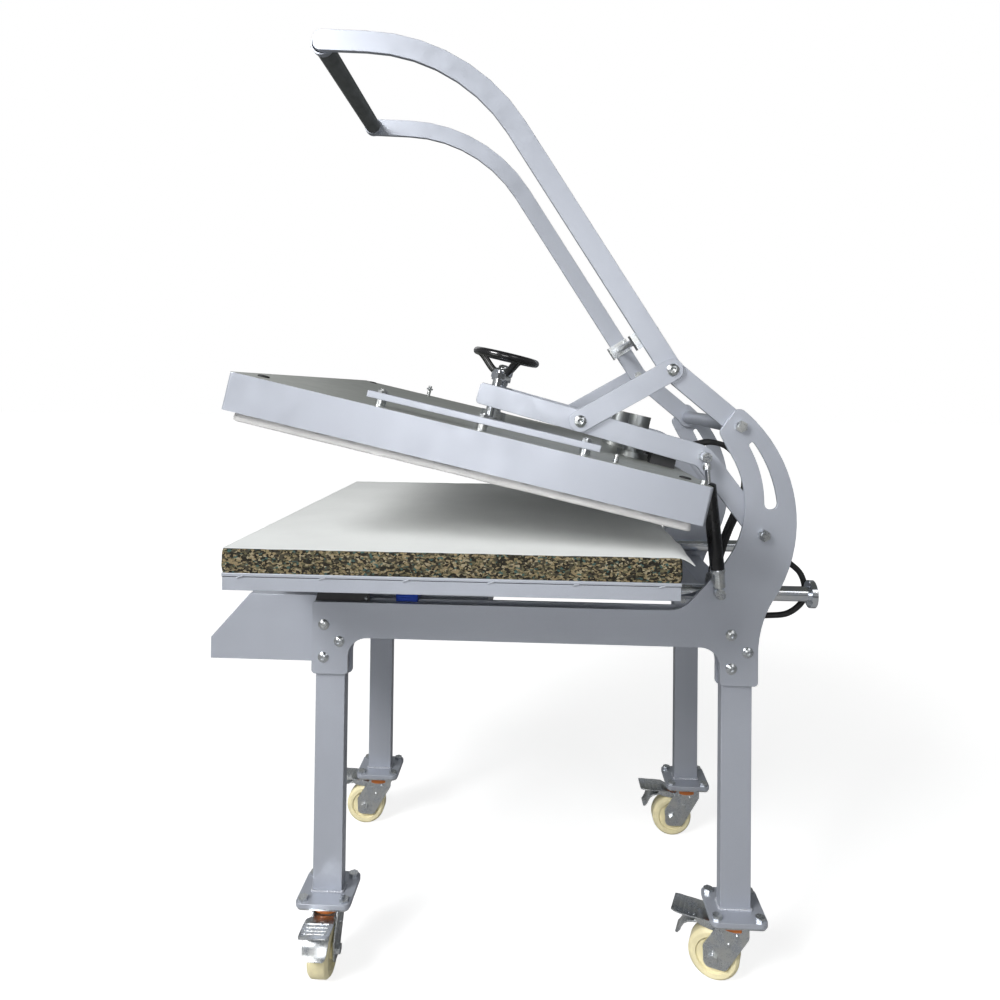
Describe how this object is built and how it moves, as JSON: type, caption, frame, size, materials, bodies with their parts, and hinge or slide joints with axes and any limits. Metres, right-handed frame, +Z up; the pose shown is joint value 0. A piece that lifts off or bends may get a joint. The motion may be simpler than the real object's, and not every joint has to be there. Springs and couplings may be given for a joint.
{
  "type": "slide-out heat press",
  "caption": "Large-format manual heat press: tilting heated head with toggle handle and gas springs, foam-covered slide-out tray, steel stand on braked casters",
  "frame": {"origin": "on the floor under the middle of the press", "axes": "X across the press, towards the side seen in the picture; Y from the operator's side to the back; Z up"},
  "size_m": [1.05, 1.24, 1.9132],
  "materials": {
    "silver_paint": "metallic powder coat, satin",
    "black_plastic": "matt",
    "zinc_steel": "bright zinc plated",
    "blue_aluminium": "anodised blue",
    "grey_plastic": "matt",
    "black_rubber": "matt rubber",
    "foam": "bonded crumb foam, mottled",
    "white_cloth": "plain weave",
    "chrome": "hard chrome",
    "cast_aluminium": "machined, heat stained",
    "black_gloss": "glossy",
    "black_paint": "satin black",
    "cream_nylon": "smooth nylon"
  },
  "bodies": {
    "stand": {"side_plate_near": "silver_paint", "side_plate_far": "silver_paint", "inner_rail_near": "silver_paint", "inner_rail_far": "silver_paint", "leg_front_near": "silver_paint", "leg_front_far": "silver_paint", "leg_rear_near": "silver_paint", "leg_rear_far": "silver_paint", "front_cross_tube": "silver_paint", "rear_cross_tube": "silver_paint", "control_box": "silver_paint", "controller": "black_plastic", "frame_bolts": "zinc_steel", "pivot_bolts": "zinc_steel", "slide_bearings": "blue_aluminium", "caster_plates": "zinc_steel", "cable_glands": "grey_plastic", "head_cable": "black_rubber", "loop_cable": "black_rubber"},
    "tray_slide": {"tray": "silver_paint", "pad": "foam", "cloth_sheet": "white_cloth", "slide_rods": "chrome", "rod_saddles": "silver_paint", "rod_end_caps": "chrome"},
    "arms": {"arm_near": "silver_paint", "arm_far": "silver_paint", "arm_cross_beam": "silver_paint", "rear_post_plate": "silver_paint", "arm_cable": "black_rubber"},
    "head": {"head_cover": "silver_paint", "heater_plate": "cast_aluminium", "stiffener_bars": "silver_paint", "head_studs": "zinc_steel", "guide_posts": "chrome", "terminal_box": "black_plastic"},
    "screw": {"pressure_screw": "chrome", "handwheel": "black_gloss"},
    "handle": {"handle_bar_near": "silver_paint", "handle_bar_far": "silver_paint", "handle_grip": "black_rubber", "torsion_tube": "silver_paint", "handle_brace": "zinc_steel"},
    "links": {"link_near": "silver_paint", "link_far": "silver_paint"},
    "spring_tubes": {"gas_cylinders": "black_paint"},
    "spring_rods": {"gas_rods": "chrome"},
    "rocker": {"rocker_switch": "black_plastic"},
    "fork_1": {"caster_fork_1": "zinc_steel"},
    "wheel_1": {"caster_wheel_1": "cream_nylon"},
    "pedal_1": {"caster_pedal_1": "zinc_steel"},
    "fork_2": {"caster_fork_2": "zinc_steel"},
    "wheel_2": {"caster_wheel_2": "cream_nylon"},
    "pedal_2": {"caster_pedal_2": "zinc_steel"},
    "fork_3": {"caster_fork_3": "zinc_steel"},
    "wheel_3": {"caster_wheel_3": "cream_nylon"},
    "pedal_3": {"caster_pedal_3": "zinc_steel"},
    "fork_4": {"caster_fork_4": "zinc_steel"},
    "wheel_4": {"caster_wheel_4": "cream_nylon"},
    "pedal_4": {"caster_pedal_4": "zinc_steel"}
  },
  "joints": [
    {"name": "tray_travel", "type": "slide", "parent": "stand", "child": "tray_slide", "axis": [0, -1, 0], "range_m": [0, 0.44]},
    {"name": "arm_pivot", "type": "hinge", "parent": "stand", "child": "arms", "pos_m": [0, 0.507, 0.887], "axis": [1, 0, 0], "range_deg": [0, 12.7]},
    {"name": "head_lift", "type": "slide", "parent": "arms", "child": "head", "axis": [0, 0.2198, 0.9755], "range_m": [-0.003, 0.015]},
    {"name": "screw_turn", "type": "hinge", "parent": "head", "child": "screw", "pos_m": [0, -0.04999, 1.09914], "axis": [0, 0.2198, 0.9755], "range_deg": [-181, 901]},
    {"name": "handle_pivot", "type": "hinge", "parent": "stand", "child": "handle", "pos_m": [0, 0.462, 1.101], "axis": [1, 0, 0], "range_deg": [0, 31.8]},
    {"name": "link_pivot", "type": "hinge", "parent": "handle", "child": "links", "pos_m": [0, 0.328, 1.212], "axis": [1, 0, 0], "range_deg": [-32.5, 0]},
    {"name": "spring_foot", "type": "hinge", "parent": "stand", "child": "spring_tubes", "pos_m": [0, 0.419, 0.774], "axis": [1, 0, 0], "range_deg": [0, 8]},
    {"name": "spring_stroke", "type": "slide", "parent": "spring_tubes", "child": "spring_rods", "axis": [0, -0.1047, 0.9945], "range_m": [-0.0236, 0]},
    {"name": "power_rocker", "type": "hinge", "parent": "stand", "child": "rocker", "pos_m": [-0.09, -0.5795, 0.69], "axis": [1, 0, 0], "range_deg": [-20, 0]},
    {"name": "swivel_1", "type": "hinge", "parent": "stand", "child": "fork_1", "pos_m": [0.256, -0.357, 0.12], "axis": [0, 0, 1], "continuous": true},
    {"name": "roll_1", "type": "hinge", "parent": "fork_1", "child": "wheel_1", "pos_m": [0.292, -0.357, 0.05], "axis": [0, 1, 0], "continuous": true},
    {"name": "brake_1", "type": "hinge", "parent": "fork_1", "child": "pedal_1", "pos_m": [0.276, -0.357, 0.107], "axis": [0, 1, 0], "range_deg": [0, 8]},
    {"name": "swivel_2", "type": "hinge", "parent": "stand", "child": "fork_2", "pos_m": [-0.256, -0.357, 0.12], "axis": [0, 0, 1], "continuous": true},
    {"name": "roll_2", "type": "hinge", "parent": "fork_2", "child": "wheel_2", "pos_m": [-0.256, -0.393, 0.05], "axis": [1, 0, 0], "continuous": true},
    {"name": "brake_2", "type": "hinge", "parent": "fork_2", "child": "pedal_2", "pos_m": [-0.256, -0.377, 0.107], "axis": [1, 0, 0], "range_deg": [0, 8]},
    {"name": "swivel_3", "type": "hinge", "parent": "stand", "child": "fork_3", "pos_m": [0.256, 0.459, 0.12], "axis": [0, 0, 1], "continuous": true},
    {"name": "roll_3", "type": "hinge", "parent": "fork_3", "child": "wheel_3", "pos_m": [0.24369, 0.42517, 0.05], "axis": [0.9397, -0.342, 0], "continuous": true},
    {"name": "brake_3", "type": "hinge", "parent": "fork_3", "child": "pedal_3", "pos_m": [0.24916, 0.44021, 0.107], "axis": [0.9397, -0.342, 0], "range_deg": [0, 8]},
    {"name": "swivel_4", "type": "hinge", "parent": "stand", "child": "fork_4", "pos_m": [-0.256, 0.459, 0.12], "axis": [0, 0, 1], "continuous": true},
    {"name": "roll_4", "type": "hinge", "parent": "fork_4", "child": "wheel_4", "pos_m": [-0.256, 0.423, 0.05], "axis": [1, 0, 0], "continuous": true},
    {"name": "brake_4", "type": "hinge", "parent": "fork_4", "child": "pedal_4", "pos_m": [-0.256, 0.439, 0.107], "axis": [1, 0, 0], "range_deg": [0, 8]}
  ],
  "couplings": [
    {"joint": "handle_pivot", "follows": "arm_pivot", "ratio": 2.4974},
    {"joint": "link_pivot", "follows": "arm_pivot", "ratio": -2.5481},
    {"joint": "spring_foot", "follows": "arm_pivot", "ratio": 0.62507},
    {"joint": "spring_stroke", "follows": "arm_pivot", "m_per_rad": -0.10612},
    {"joint": "screw_turn", "follows": "head_lift", "rad_per_m": 1047.2}
  ]
}
